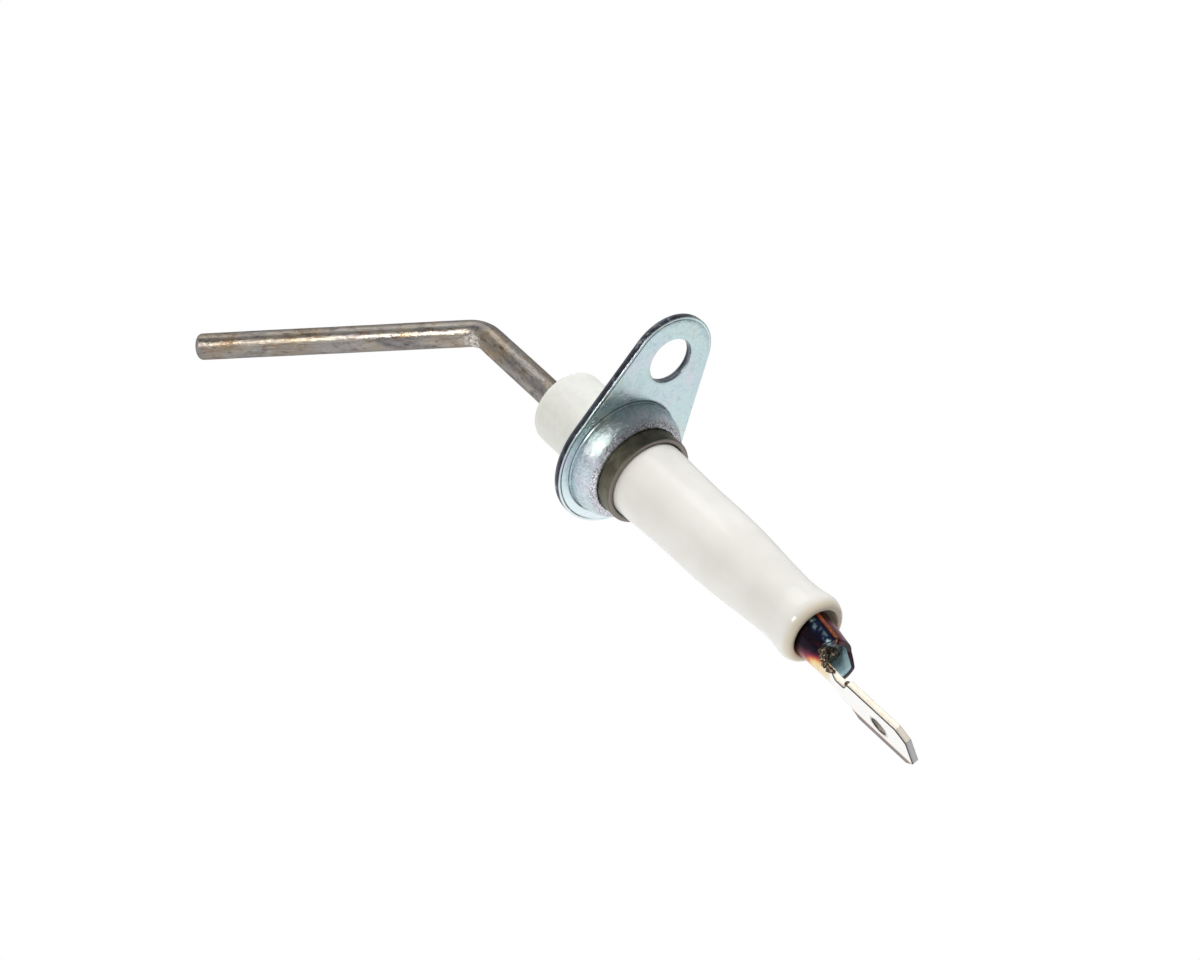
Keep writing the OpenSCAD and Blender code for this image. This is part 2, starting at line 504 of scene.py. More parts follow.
def zinc():
    """Bright zinc plate with a pale blue passivation, mottled, darker on its cut edges, with painted
    light towards the plate's bottom, painted shade in the groove behind the burr and in the crease at
    the cup's base, and painted glints and shade on the crimped mouth.
    """
    f = Finish("zinc_plate", Metallic=1.0)
    cut, drawn, crimp = f.value("cut"), f.value("drawn"), f.value("crimp")
    wide = f.noise(4.5, 2, 0.5, 0.6)
    patches = f.noise(1.3, 4, 0.6, 0.8)
    fine = f.noise(0.22, 3, 0.65)
    tint = f.ramp(wide, [
        (0.30, (0.70, 0.72, 0.80)),
        (0.46, (0.63, 0.76, 0.80)),
        (0.58, (0.61, 0.78, 0.79)),
        (0.72, (0.74, 0.78, 0.72)),
    ])
    cloud = f.ramp(patches, [(0.30, (0.76, 0.78, 0.82)), (0.50, (1, 1, 1)), (0.70, (0.92, 0.95, 0.96))])
    colour = f.mix(1.0, tint, cloud, "MULTIPLY")
    speckle = f.ramp(fine, [(0.32, (0.64, 0.66, 0.70)), (0.45, (1, 1, 1))])
    colour = f.mix(0.5, colour, speckle, "MULTIPLY")
    # Painted light: the flat plate is made lighter towards its bottom, away from the screw hole, but
    # not on the drawn cup.
    painted_light_low = f.maths("MULTIPLY", f.level(f.part("Z"), -2.0, -7.0), f.maths("SUBTRACT", 1.0, drawn))
    colour = f.mix(f.scale(painted_light_low, 0.7), colour, (0.88, 0.97, 1.0))
    stretched = f.ramp(f.noise(0.35, 5, 0.75), [
        (0.36, (0.26, 0.27, 0.33)),
        (0.50, (0.52, 0.54, 0.60)),
        (0.62, (0.82, 0.82, 0.90)),
    ])
    colour = f.mix(f.scale(drawn, 0.35), colour, stretched)
    # Painted glints and shade: the crimped mouth's folds are mottled near-black and near-white in
    # colour.
    crimp_glint_and_shade = f.ramp(f.noise(0.16, 4, 0.8), [(0.42, (0.10, 0.10, 0.13)), (0.56, (0.95, 0.95, 1.0))])
    colour = f.mix(f.scale(crimp, 0.9), colour, crimp_glint_and_shade)
    sheared = f.ramp(f.noise(1.6, 5, 0.7, 1.0), [
        (0.40, (0.030, 0.030, 0.045)),
        (0.56, (0.075, 0.075, 0.100)),
        (0.66, (0.42, 0.42, 0.48)),
    ])
    # The cut mark also brings this dark colour to the groove behind the burr and the crease at the
    # cup's base, as painted shade.
    f.set(Base_Color=f.mix(cut, colour, sheared))
    polish = f.level(patches, 0.3, 0.7, 0.22, 0.38)
    f.set(Roughness=f.maths("ADD", polish, f.maths("ADD", f.scale(cut, 0.12), f.scale(drawn, -0.09))))
    crinkle = f.maths("MULTIPLY", f.noise(0.28, 4, 0.7), drawn)
    f.relief((fine, 0.012), (patches, 0.03), (f.noise(0.6, 3), 0.02), (crinkle, 0.075))
    return f.material


def rod_metal():
    """Drawn heat-resistant alloy, dulled, with lines along the rod and brown and olive stains."""
    f = Finish("rod_metal", Metallic=1.0, Specular_Tint=(0.55, 0.55, 0.55, 1))
    along = f.vector("along")
    lines = f.noise(0.11, 3, 0.6, place=f.scaled(along, (0.04, 1, 1)))
    stains = f.noise(2.4, 5, 0.7, 0.8, place=f.scaled(along, (0.4, 1, 1)))
    spots = f.noise(0.7, 5, 0.7, place=f.scaled(along, (0.5, 1, 1)))
    colour = f.ramp(stains, [
        (0.30, (0.17, 0.16, 0.15)),
        (0.42, (0.33, 0.30, 0.27)),
        (0.52, (0.44, 0.41, 0.37)),
        (0.60, (0.38, 0.33, 0.27)),
        (0.74, (0.32, 0.32, 0.37)),
    ])
    hues = f.noise(3.0, 3, 0.6, place=f.scaled(along, (0.6, 1, 1)))
    hue = f.ramp(hues, [(0.34, (1.0, 0.86, 0.70)), (0.50, (1, 1, 1)), (0.64, (0.88, 0.90, 1.0))])
    colour = f.mix(0.9, colour, hue, "MULTIPLY")
    rust = f.level(f.noise(1.5, 4, 0.7, place=f.scaled(along, (0.5, 1, 1))), 0.58, 0.68)
    colour = f.mix(f.scale(rust, 0.6), colour, (0.38, 0.23, 0.14))
    drawn = f.ramp(lines, [(0.30, (0.56, 0.54, 0.52)), (0.58, (1, 1, 1))])
    colour = f.mix(0.85, colour, drawn, "MULTIPLY")
    burnt = f.ramp(spots, [(0.34, (0.22, 0.18, 0.15)), (0.46, (1, 1, 1))])
    colour = f.mix(0.7, colour, burnt, "MULTIPLY")
    chipped = f.level(f.noise(0.5, 4, 0.7, place=along), 0.46, 0.56)
    colour = f.mix(f.maths("MULTIPLY", f.value("scuff"), chipped), colour, (0.88, 0.86, 0.80))
    f.set(Base_Color=f.mix(f.value("cut"), colour, (0.55, 0.55, 0.80)))
    f.set(Roughness=f.level(stains, 0.3, 0.7, 0.24, 0.38))
    f.relief(
        (lines, 0.010),
        (f.noise(0.25, 2, 0.5, place=along), 0.012),
        (f.noise(0.8, 2, place=along), 0.04),
    )
    return f.material


def ceramic():
    """Off-white porcelain: glossy glaze behind the bracket, bare and matte on the nose."""
    f = Finish(
        "glazed_ceramic",
        IOR=1.5,
        Subsurface_Weight=0.25,
        Subsurface_Scale=2 * MM,
        Subsurface_Radius=(1.0, 0.9, 0.75),
    )
    x = f.part("X")
    wide = f.noise(6, 2)
    mottle = f.noise(0.9, 3)
    glazed = f.level(x, 0.0, 1.0)
    glaze = f.ramp(wide, [(0.35, (0.73, 0.72, 0.685)), (0.65, (0.78, 0.77, 0.74))])
    bare = f.ramp(mottle, [(0.3, (0.68, 0.69, 0.655)), (0.7, (0.74, 0.745, 0.71))])
    colour = f.mix(glazed, bare, glaze)
    lip = f.level(x, CERAMIC_HIGH.x - 1.1, CERAMIC_HIGH.x - 0.05)
    colour = f.mix(f.scale(lip, 0.8), colour, (0.66, 0.57, 0.42))
    dirt = f.level(f.noise(0.25, 4, 0.7), 0.66, 0.74)
    colour = f.mix(f.scale(dirt, 0.35), colour, (0.42, 0.37, 0.30))
    gloss = f.ramp(mottle, [(0.3, (0.10,) * 3), (0.7, (0.17,) * 3)])
    f.set(Base_Color=colour, Roughness=f.mix(glazed, (0.55,) * 3, gloss))
    f.relief((f.noise(2.2, 2), 0.03))
    return f.material


def ring_steel():
    """Dark olive-grey satin steel with fine turning lines."""
    f = Finish("ring_steel", Metallic=1.0)
    turned = f.noise(0.07, 2, place=f.scaled(f.place, (1, 0.04, 0.04)))
    wide = f.noise(2.4, 3, 0.6, 0.5)
    colour = f.ramp(wide, [
        (0.32, (0.095, 0.088, 0.075)),
        (0.50, (0.135, 0.128, 0.092)),
        (0.66, (0.205, 0.190, 0.145)),
    ])
    colour = f.mix(0.5, colour, f.ramp(turned, [(0.35, (0.6, 0.6, 0.6)), (0.6, (1, 1, 1))]), "MULTIPLY")
    rear = f.level(f.part("X"), RING_HIGH.x - 0.10, RING_HIGH.x - 0.02)
    colour = f.mix(f.scale(rear, 0.85), colour, (0.28, 0.25, 0.23))
    f.set(Base_Color=colour, Roughness=f.level(wide, 0.3, 0.7, 0.36, 0.48))
    f.relief((turned, 0.008), (f.noise(0.3, 3), 0.012))
    return f.material


def terminal_plate():
    """Bright plated sheet, tinted gold, crimson, purple and blue where the welding heated it, with a
    painted pale-blue highlight on the barrel's near side.
    """
    f = Finish("terminal_plate")
    cut, burr = f.value("cut"), f.value("burr")
    wander = f.maths("SUBTRACT", f.noise(0.8, 4, 0.6), 0.5)
    fine = f.noise(0.12, 3)
    tint = f.maths("ADD", f.value("tint"), f.scale(wander, 0.24))
    heat_and_highlight = f.ramp(tint, [
        (0.00, (0.86, 0.80, 0.68)),
        (0.12, (0.85, 0.66, 0.34)),
        (0.24, (0.72, 0.27, 0.09)),
        (0.36, (0.36, 0.06, 0.07)),
        (0.48, (0.10, 0.025, 0.05)),
        (0.62, (0.016, 0.011, 0.016)),
        (0.78, (0.03, 0.045, 0.11)),
        # The last stop's pale blue is the tint inside the barrel and also the painted highlight on the
        # near side.
        (0.95, (0.50, 0.72, 0.79)),
    ])
    plated = f.ramp(f.noise(0.9, 3), [(0.3, (0.92, 0.91, 0.88)), (0.7, (0.97, 0.96, 0.94))])
    hot = f.level(f.value("tint"), 0.005, 0.04)
    sheared = f.ramp(f.noise(0.5, 4, 0.7), [(0.3, (0.92, 0.82, 0.66)), (0.6, (1.0, 0.95, 0.86))])
    end = f.level(f.part("X"), TERMINAL_HIGH.x - 0.10, TERMINAL_HIGH.x - 0.04)
    sheared = f.mix(end, sheared, (0.62, 0.60, 0.63))
    colour = f.mix(hot, f.mix(cut, plated, sheared), heat_and_highlight)
    f.set(Base_Color=f.mix(burr, colour, (0.05, 0.035, 0.03)))
    # Where the tint turns pale blue, inside the barrel and in the painted highlight, the sheet is made
    # less metallic.
    dull = f.maths("MAXIMUM", f.scale(cut, 0.8), f.level(f.value("tint"), 0.85, 0.95, 0.0, 0.85))
    f.set(Metallic=f.maths("SUBTRACT", 1.0, dull))
    f.set(Roughness=f.maths("ADD", f.level(fine, 0.3, 0.7, 0.18, 0.30), f.scale(cut, 0.2)))
    f.relief((fine, 0.006), (f.noise(0.9, 2), 0.03))
    return f.material


def weld_metal():
    """Dark scaly weld with lighter specks."""
    f = Finish("weld_metal", Metallic=0.7)
    lumps = f.noise(0.20, 4, 0.7)
    colour = f.ramp(lumps, [
        (0.38, (0.012, 0.010, 0.010)),
        (0.48, (0.06, 0.04, 0.03)),
        (0.56, (0.24, 0.17, 0.11)),
        (0.64, (0.80, 0.70, 0.54)),
    ])
    f.set(Base_Color=colour, Roughness=f.level(lumps, 0.3, 0.7, 0.30, 0.55))
    f.relief((f.noise(0.06, 3), 0.02), (lumps, 0.08))
    return f.material


def cement():
    """Matte off-white cement with fine pores."""
    f = Finish("cement", Roughness=0.85)
    sandy = f.noise(0.15, 4, 0.7)
    pores = f.level(f.cells(0.35), 0.0, 0.3)
    colour = f.ramp(sandy, [(0.3, (0.60, 0.56, 0.48)), (0.7, (0.78, 0.75, 0.67))])
    f.set(Base_Color=f.mix(pores, (0.40, 0.36, 0.30), colour))
    f.relief((sandy, 0.04), (pores, 0.05))
    return f.material


# -------------------------------------------------- the rod


def rod_path():
    """Stations down the rod from its rear end: (length so far, centre, ahead, out, bend).

    ahead points down the rod, out points away from the centre of its bend, and bend rises from 0
    to 1 at the middle of the bend."""
    tangent = ROD_BEND_R * math.tan(ROD_BEND / 2)
    bend_start = tangent - ROD_REACH
    straight = ROD_END - bend_start
    bent = ROD_BEND_R * ROD_BEND
    total = straight + bent + ROD_LEG - tangent - ROD_TIP_WORN
    before_bend, past_bend = straight - 3, straight + bent + 3
    lengths = [
        *np.arange(0, before_bend, 0.6),
        *np.arange(before_bend, past_bend, 0.12),
        *np.arange(past_bend, total, 0.35),
    ]
    pivot = Vector((bend_start, 0, -ROD_BEND_R))
    for length in lengths:
        turn = min(ROD_BEND, max(0.0, (length - straight) / ROD_BEND_R))
        out = Vector((-math.sin(turn), 0, math.cos(turn)))
        ahead = Vector((-math.cos(turn), 0, -math.sin(turn)))
        if length <= straight:
            centre = Vector((ROD_END - length, 0, 0))
        else:
            centre = pivot + out * ROD_BEND_R + ahead * max(0.0, length - straight - bent)
        bend = smooth(1 - abs(length - straight - bent / 2) / (bent / 2 + 1.2))
        yield length, centre, ahead, out, bend
    yield total, pivot + out * ROD_BEND_R + ahead * (total - straight - bent), ahead, out, 0.0


def sensing_rod():
    """The rod, with the flattening of its bend, faint dents and a rounded, sheared tip."""
    skin = Skin()
    placed = on_rod(ROD_CLOCK)
    turns = turns_of(72)
    *stations, tip = rod_path()
    total = tip[0]
    edge = 0.5      # radius of the worn edge round the tip
    worn = 0.012    # how far the whole surface lies below the drawn size
    rings = []

    def add(centre, out, across, length, cut=0.0):
        """One ring through (side, up) points, each kept with its place on the straightened rod."""
        points = [placed @ (centre + Vector((0, side, 0)) + out * up) for side, up in across]
        rings.append(skin.ring(points, cut=cut))
        skin.mark("along", rings[-1], [(length, side, up) for side, up in across])

    for length, centre, _, out, bend in stations:
        if length > total - edge:
            continue
        across = []
        for a in turns:
            side, up = math.cos(a), math.sin(a)
            r = ROD_R * (1 - 0.035 * bend * abs(up) ** 3 + 0.02 * bend * side * side)
            spot = (length, r * side, r * up)
            r += 0.012 * grain(spot, 3.0, 2.0) + 0.006 * grain(spot, 0.8, 5.0) - worn
            across.append((r * side, r * up))
        add(centre, out, across, length)
        skin.mark("scuff", rings[-1], [bend * smooth((-math.sin(a) - 0.4) / 0.5) for a in turns])
    _, centre, ahead, out, _ = tip
    quarter = [math.radians(15 * k) for k in range(7)]
    profile = [(edge * (1 - math.sin(a)), ROD_R - worn - edge * (1 - math.cos(a))) for a in quarter]
    for back, r in profile + [(0.0, 0.8), (0.0, 0.5), (0.0, 0.25)]:
        across = [(r * math.cos(a), r * math.sin(a)) for a in turns]
        add(centre - ahead * back, out, across, total - back, cut=1 - min(1.0, back / 0.25))
    skin.bands(rings)
    skin.cap(rings[-1], placed @ centre)
    skin.cap(rings[0], placed @ stations[0][1])
    return skin.finish("sensing_rod_drawn", rod_metal(), "rod_metal", "sensing_rod")


# -------------------------------------------------- the ceramic


def through(stations, spacing):
    """Points of a smooth curve through (x, r) stations, as Catmull-Rom spans."""
    made = []
    last = len(stations) - 1
    for i in range(last):
        p0, p1 = stations[max(0, i - 1)], stations[i]
        p2, p3 = stations[i + 1], stations[min(last, i + 2)]
        parts = max(2, round((p2[0] - p1[0]) / spacing))
        slope1 = (p2[1] - p0[1]) / (p2[0] - p0[0])
        slope2 = (p3[1] - p1[1]) / (p3[0] - p1[0])
        span = p2[0] - p1[0]
        for k in range(parts):
            t = k / parts
            h1, h2 = 2 * t**3 - 3 * t**2 + 1, t**3 - 2 * t**2 + t
            h3, h4 = 3 * t**2 - 2 * t**3, t**3 - t**2
            r = h1 * p1[1] + h2 * span * slope1 + h3 * p2[1] + h4 * span * slope2
            made.append((p1[0] + span * t, r))
    return made


def ceramic_insulator():
    """The insulator: nose, pilot, collar, waisted body, bead, pocket and bore in one skin."""
    front, end = CERAMIC_LOW.x, CERAMIC_HIGH.x
    seat = SHEET + 0.02
    nose_edge, bead_edge, bore_edge = 0.8, 0.8, 0.25
    body = [
        (RING_HIGH.x + 0.4, BODY_START_R),
        (13, 4.38),
        (20, 4.30),
        (28, 3.74),
        (31, 3.63),
        (33.2, 3.92),
    ]
    bead = (body[-1][0] + 0.1, body[-1][1] - 0.78)
    outside = (
        arc((front + nose_edge, NOSE_R - nose_edge), nose_edge, nose_edge, 180, 90, 8)
        + [(front + d, NOSE_R) for d in (1.5, 3.0, 4.5, 6.0, 7.5, 9.0)]
        + [(0.0, NOSE_R), (0.0, PILOT_R), (seat, PILOT_R), (seat, COLLAR_R)]
        + [(RING_LOW.x, COLLAR_R), (RING_LOW.x, BODY_START_R)]
        + through(body, 0.5)
        + arc(bead, end - bead[0], bead_edge, 88, 0, 12)
    )
    inside = (
        arc((end - bore_edge, POCKET_R + bore_edge), bore_edge, bore_edge, 0, -90, 5)
        + [(POCKET_FLOOR, POCKET_R), (POCKET_FLOOR, BORE_R), (front + 0.3, BORE_R)]
        + arc((front + bore_edge, BORE_R + bore_edge), bore_edge, bore_edge, -90, -180, 5)
    )

    def wobble(p):
        shown = smooth((abs(p.x - 2) - 4) / 2)
        return 0.02 * shown * grain(p, 5.0, 1.0)

    skin = lathe(outside + inside, 160, wobble)
    return skin.finish("ceramic_insulator_fired", ceramic(), "glazed_ceramic", "ceramic_insulator", 50)


# -------------------------------------------------- the bracket


def teardrop(by, count):
    """The plate's outline as (y, z) points, moved in by a small distance."""
    lean = math.asin((PLATE_R - LOBE_R) / HOLE_Z)
    big, small = PLATE_R - by, LOBE_R - by
    far_side = math.pi - lean
    lobe_share = 0.28
    side_share = 0.17
    round_share = 1 - lobe_share - 2 * side_share

    def on_round(a):
        return Vector((big * math.cos(a), big * math.sin(a)))

    def on_lobe(a):
        return Vector((small * math.cos(a), HOLE_Z + small * math.sin(a)))

    points = []
    for i in range(count):
        t = i / count
        if t < lobe_share:
            points.append(on_lobe(lean + (math.pi - 2 * lean) * t / lobe_share))
        elif t < lobe_share + side_share:
            k = (t - lobe_share) / side_share
            points.append(on_lobe(far_side).lerp(on_round(far_side), k))
        elif t < lobe_share + side_share + round_share:
            k = (t - lobe_share - side_share) / round_share
            points.append(on_round(far_side + (math.pi + 2 * lean) * k))
        else:
            k = (t - 1 + side_share) / side_share
            points.append(on_round(lean).lerp(on_lobe(lean), k))
    return points


def mounting_bracket():
    """The bracket: a blanked plate with a burr, a drawn cup and its crimped mouth."""
    skin = Skin()
    around, turn_count, hole_count = 300, 288, 96
    # (inset, x, how much of a cut edge it is), from the rear face over the edge to the front face.
    # The second and third are a shallow groove behind the burr, dark only away from the +Y side:
    # painted shade, in the cut edge's colour.
    rim = [
        (0.44, SHEET, 0.0),
        (0.36, SHEET - 0.02, 0.9),
        (0.29, SHEET - 0.03, 0.9),
        (0.22, SHEET - 0.005, 0.0),
        (0.10, SHEET, 0.0),
        (0.03, SHEET - 0.03, 0.1),
        (0.0, SHEET - 0.10, 1.0),
        (0.0, 0.55 * SHEET, 1.0),
        (0.02, 0.30 * SHEET, 0.9),
        (0.04, 0.12 * SHEET, 0.8),
        (0.09, 0.03 * SHEET, 0.2),
        (0.18, 0.0, 0.0),
    ]
    outline = [
        skin.ring([(x, y, z) for y, z in teardrop(by + 0.02, around)], cut=cut)
        for by, x, cut in rim
    ]
    for ring in outline:
        for number in ring:
            p = skin.points[number]
            away = Vector((0, p.y, p.z - min(HOLE_Z, max(0.0, p.z)))).normalized()
            torn = 0.1 < p.x < SHEET - 0.05
            skin.points[number] = p - away * abs(0.02 * torn * grain(p, 0.5, 4.0))
    # Painted shade: the groove's dark colour fades out towards the +Y side.
    for ring in outline[1:3]:
        for number in ring:
            skin.layers["cut"][number] *= smooth((1.5 - skin.points[number].y) / 4)
    skin.bands(outline)

    hole_rim = [
        (0.16, SHEET, 0.0),
        (0.06, SHEET - 0.02, 0.2),
        (0.0, SHEET - 0.10, 0.6),
        (0.0, 0.6 * SHEET, 0.8),
        (0.0, 0.3 * SHEET, 1.0),
        (0.04, 0.06 * SHEET, 0.4),
        (0.14, 0.0, 0.0),
    ]
    hole = [
        skin.ring(circle(HOLE_R + by, hole_count, x, (0.0, HOLE_Z)), cut=cut)
        for by, x, cut in hole_rim
    ]
    skin.bands(hole)

    mouth_r = RING_R + 0.02
    dome_r, dome_x = CUP_BASE_R - mouth_r - 0.08, CUP_END - SHEET
    # (x, r, how much of a cut edge it is); in the crease at the cup's base the same mark is painted
    # shade
    crease = [
        (SHEET, CUP_BASE_R + 0.34, 0.0),
        (SHEET, CUP_BASE_R + 0.22, 0.0),
        (SHEET - 0.04, CUP_BASE_R + 0.15, 0.9),
        (SHEET - 0.04, CUP_BASE_R + 0.08, 0.9),
        (SHEET + 0.02, CUP_BASE_R + 0.03, 0.1),
        (SHEET + 0.12, CUP_BASE_R - 0.02, 0.0),
    ]
    dome = arc((SHEET, mouth_r + 0.08), dome_x, dome_r, 84, 4, 26)
    lip = [(CUP_END, mouth_r + 0.07), (CUP_END - 0.02, mouth_r), (CUP_END - 0.35, mouth_r)]
    hollow = arc((SHEET, mouth_r), dome_x - CUP_WALL, CUP_BASE_R - CUP_WALL - mouth_r, 20, 90, 10)
    floor = [
        (SHEET, PILOT_R + 0.1),
        (SHEET - 0.08, PILOT_R + 0.02),
        (0.12, PILOT_R + 0.02),
        (0.0, PILOT_R + 0.14),
    ]
    cup = []
    for x, r, cut in crease + [(x, r, 0.0) for x, r in dome + lip + hollow + floor]:
        outside = r > mouth_r + 0.02
        drawn = outside * smooth((x - SHEET - 0.1) / 0.5)
        crimp = outside * smooth((x - CUP_END + 0.55) / 0.35)
        ring = []
        for p in circle(r, turn_count, x):
            p = Vector(p)
            dent = 0.10 * crimp * abs(grain(p, 0.30, 6.0)) + 0.02 * drawn * grain(p, 1.6, 8.0)
            way = Vector((0, p.y, p.z)).normalized() + Vector((0.5, 0, 0)) * crimp
            ring.append(p - way * max(-0.01, dent))
        cup.append(skin.ring(ring, cut=cut, drawn=drawn, crimp=crimp))
    skin.bands(cup)

    for end, x in ((0, SHEET), (-1, 0.0)):
        rings = [outline[end], hole[end][::-1], cup[end][::-1]]
        loops = [[skin.points[n].yz for n in ring] for ring in rings]
        spots = scatter(loops, 0.5)
        inner = skin.ring([(x - 0.012 * (x > 0) * (1 - grain((0, *s), 3.0, 5.0)), *s) for s in spots])
        plan = {n: tuple(skin.points[n].yz) for ring in (*rings, inner) for n in ring}
        skin.sheet(rings, inner, plan)
    return skin.finish("mounting_bracket_drawn", zinc(), "zinc_plated_steel", "mounting_bracket", 40)


# -------------------------------------------------- the ring


def retaining_ring():
    """The ring, with a foot, a turned tube and a broken rear edge."""
    inner, outer, foot = BODY_START_R + 0.03, RING_R - 0.01, RING_HIGH.z - 0.01
    low, high = RING_LOW.x + 0.01, RING_HIGH.x
    profile = (
        [(low, inner), (low, foot - 0.1), (low + 0.1, foot), (low + 0.6, foot), (low + 0.7, outer)]
        + [(low + 0.7 + 0.3 * k, outer) for k in range(1, 8)]
        + [(high - 0.30, outer - 0.02)]
        + arc((high - 0.16, outer - 0.16), 0.16, 0.16, 90, 0, 5)
        + [(high, inner + 0.35), (high - 0.02, inner + 0.20)]
        + [(high - 0.12, inner + 0.06), (high - 0.3, inner)]
        + [(high - 1.2, inner), (high - 2.4, inner)]
    )

    def wobble(p):
        return 0.012 * grain(p, 1.8, 12.0) + 0.004 * grain(p, 0.4, 13.0) - 0.006

    skin = lathe(profile, 200, wobble)
    return skin.finish("retaining_ring_turned", ring_steel(), "dark_ring_steel", "retaining_ring", 40)


# -------------------------------------------------- the terminal

ROLL_R = 2.1                # radius that turns an angle of the barrel into a length of the flat blank
SEAM = math.radians(125)    # where the barrel's edges meet, on the near side of its bottom
NEAR_LIFT = 0.12            # how far the barrel's near edge stands proud at the seam
FAR_SINK = 0.22             # how far its far edge lies sunk there
BARREL_T = 0.62             # the sheet's thickness where it is rolled
TAPER_START, TAPER_END = 34.0, 39.6
UNROLL_START, UNROLL_END = 39.4, 41.6

CHEEK_START = 38.1          # where the barrel's near edge ends, and the cheek goes on alone
COOL_X = 41.2               # where the heat tints have faded out along the neck
PAINTED_HIGHLIGHT_ANGLE = -92          # the middle of the painted pale-blue highlight on the near side, in degrees


def barrel_radius(x):
    """Outer radius of the barrel, which narrows from the insulator to its end."""
    return 2.56 - 0.0863 * (min(max(x, TAPER_START), TAPER_END) - TAPER_START)


def bend_sheet(x, s, depth):
    """Where a spot of the flat blank goes: x along it, s across it and depth below its outer face."""
    flat = smooth((x - UNROLL_START) / (UNROLL_END - UNROLL_START))
    roll = max(1 - flat, 1e-4)
    thick = BARREL_T + (TAB_T - BARREL_T) * flat
    depth *= thick / TAB_T
    angle = s * roll / ROLL_R
    proud = NEAR_LIFT * smooth((-angle - 1.2) / 0.8) - FAR_SINK * smooth((angle - 2.2) / 1.4)
    outer = barrel_radius(x) * (1 - flat) + ROLL_R * flat + proud
    radius = outer / roll
    return Vector((
        x,
        (radius - depth) * math.sin(angle),
        TAB_FLOOR + radius - proud - (radius - depth) * math.cos(angle),
    ))


def blank_loops():
    """The terminal's flat blank: its outline and its locking hole, as loops of (x, s) points."""
    start, tip = TERMINAL_LOW.x, TERMINAL_HIGH.x
    near_edge = -SEAM * ROLL_R + 0.06
    far_edge = (TURN - SEAM) * ROLL_R - 0.06
    half, half_tip, half_neck = TAB_W / 2, TAB_TIP_W / 2, NECK_W / 2
    outline = [
        (start, near_edge, 0.2),
        (CHEEK_START, near_edge, 0.3),
        (38.0, -3.6, 0.4),
        (37.5, -2.6, 0.4),
        (38.2, -half_neck, 0.4),
        (TAB_START - 0.9, -half_neck, 0.35),
        (TAB_START, -half, 0.2),
        (tip - TAB_CHAMFER, -half, 0.15),
        (tip, -half_tip, 0.15),
        (tip, half_tip, 0.15),
        (tip - TAB_CHAMFER, half, 0.15),
        (TAB_START, half, 0.2),
        (TAB_START - 0.9, half_neck, 0.35),
        (40.3, half_neck, 0.3),
        (39.7, 2.6, 0.3),
        (39.6, 4.6, 0.3),
        (38.4, 5.6, 0.3),
        (38.2, far_edge, 0.3),
        (start, far_edge, 0.2),
    ]
    hole = [
        Vector((LOCK_HOLE_X + LOCK_HOLE_R * math.cos(a), -LOCK_HOLE_R * math.sin(a)))
        for a in turns_of(40)
    ]
    return [divided(rounded(outline), 0.25), hole]


def heat_and_highlight(x, s, inside):
    """Heat tint of the blank at a place, from 0 (untinted plate) to 1 (pale blue inside the barrel),
    with a painted pale-blue highlight added on the near side.

    The angle round the barrel is below 0 on its near side and above 0 on the cheek's side."""
    angle = math.degrees(s / ROLL_R)
    warm = smooth((COOL_X - x) / 3.0)
    if inside:
        return smooth((40.9 - x) / 0.5)
    if angle < 13 - math.degrees(SEAM):
        return 0.28 * warm
    least = 0.08 + 0.28 * smooth((38.0 - x) / 2.5)
    if angle < 0:
        deep = smooth((-angle - 9 * (x - 36)) / 45)
        # Painted highlight: a pale-blue streak on the near side, broken up by noise, is added to the
        # tint here.
        painted_highlight = smooth(1.3 - abs(angle - PAINTED_HIGHLIGHT_ANGLE) / 10)
        broken = smooth(0.6 + 1.6 * grain((x, s, 0), 0.5, 21.0))
        navy_and_highlight = 0.13 * smooth((-angle - 75) / 35) + 0.24 * painted_highlight * broken
        return warm * (least + (0.62 - least) * deep + navy_and_highlight)
    cheek = smooth((x - CHEEK_START) / 0.3) * smooth((angle - 50) / 10)
    return warm * (least + (0.46 - least) * smooth(angle / 60)) * (1 - cheek) + 0.58 * cheek


def terminal():
    """The terminal: one sheet, rolled into a barrel, with a cheek, a neck and the chamfered tab."""
    skin = Skin()
    placed = on_rod(TAB_CLOCK)
    loops = blank_loops()
    # (inset, depth, cut edge, burr), from the outer face over the edge to the inner face
    rim = [
        (0.12, 0.0, 0.0, 0.0),
        (0.05, 0.0, 0.0, 1.0),
        (0.0, 0.06, 0.5, 1.0),
        (0.0, 0.16, 1.0, 0.2),
        (0.0, TAB_T / 2, 1.0, 0.0),
        (0.0, TAB_T - 0.10, 1.0, 0.0),
        (0.04, TAB_T - 0.02, 0.5, 0.3),
        (0.12, TAB_T, 0.0, 0.0),
    ]
    faces = {0: [], len(rim) - 1: []}
    plan = {}

    def layer(spots, depth, cut=0.0, burr=0.0):
        inside = depth > TAB_T - 0.05
        ring = skin.ring([placed @ bend_sheet(*p, depth) for p in spots], cut=cut, burr=burr)
        skin.mark("tint", ring, [heat_and_highlight(*p, inside) for p in spots])
        plan.update(zip(ring, spots))
        return ring

    # The locking hole's rim and wall are darkened all round with the burr colour.
    for loop, hole_darkening in zip(loops, (0.0, 0.7)):
        rings = [layer(inset(loop, by), depth, cut, max(burr, hole_darkening)) for by, depth, cut, burr in rim]
        for k in faces:
            faces[k].append(rings[k])
        skin.bands(rings)
    spots = scatter([[tuple(p) for p in inset(loop, rim[0][0])] for loop in loops], 0.28)
    for k, rings in faces.items():
        skin.sheet(rings, layer(spots, rim[k][1]), plan)
    return skin.finish("terminal_rolled", terminal_plate(), "terminal_plate", "terminal", 40)


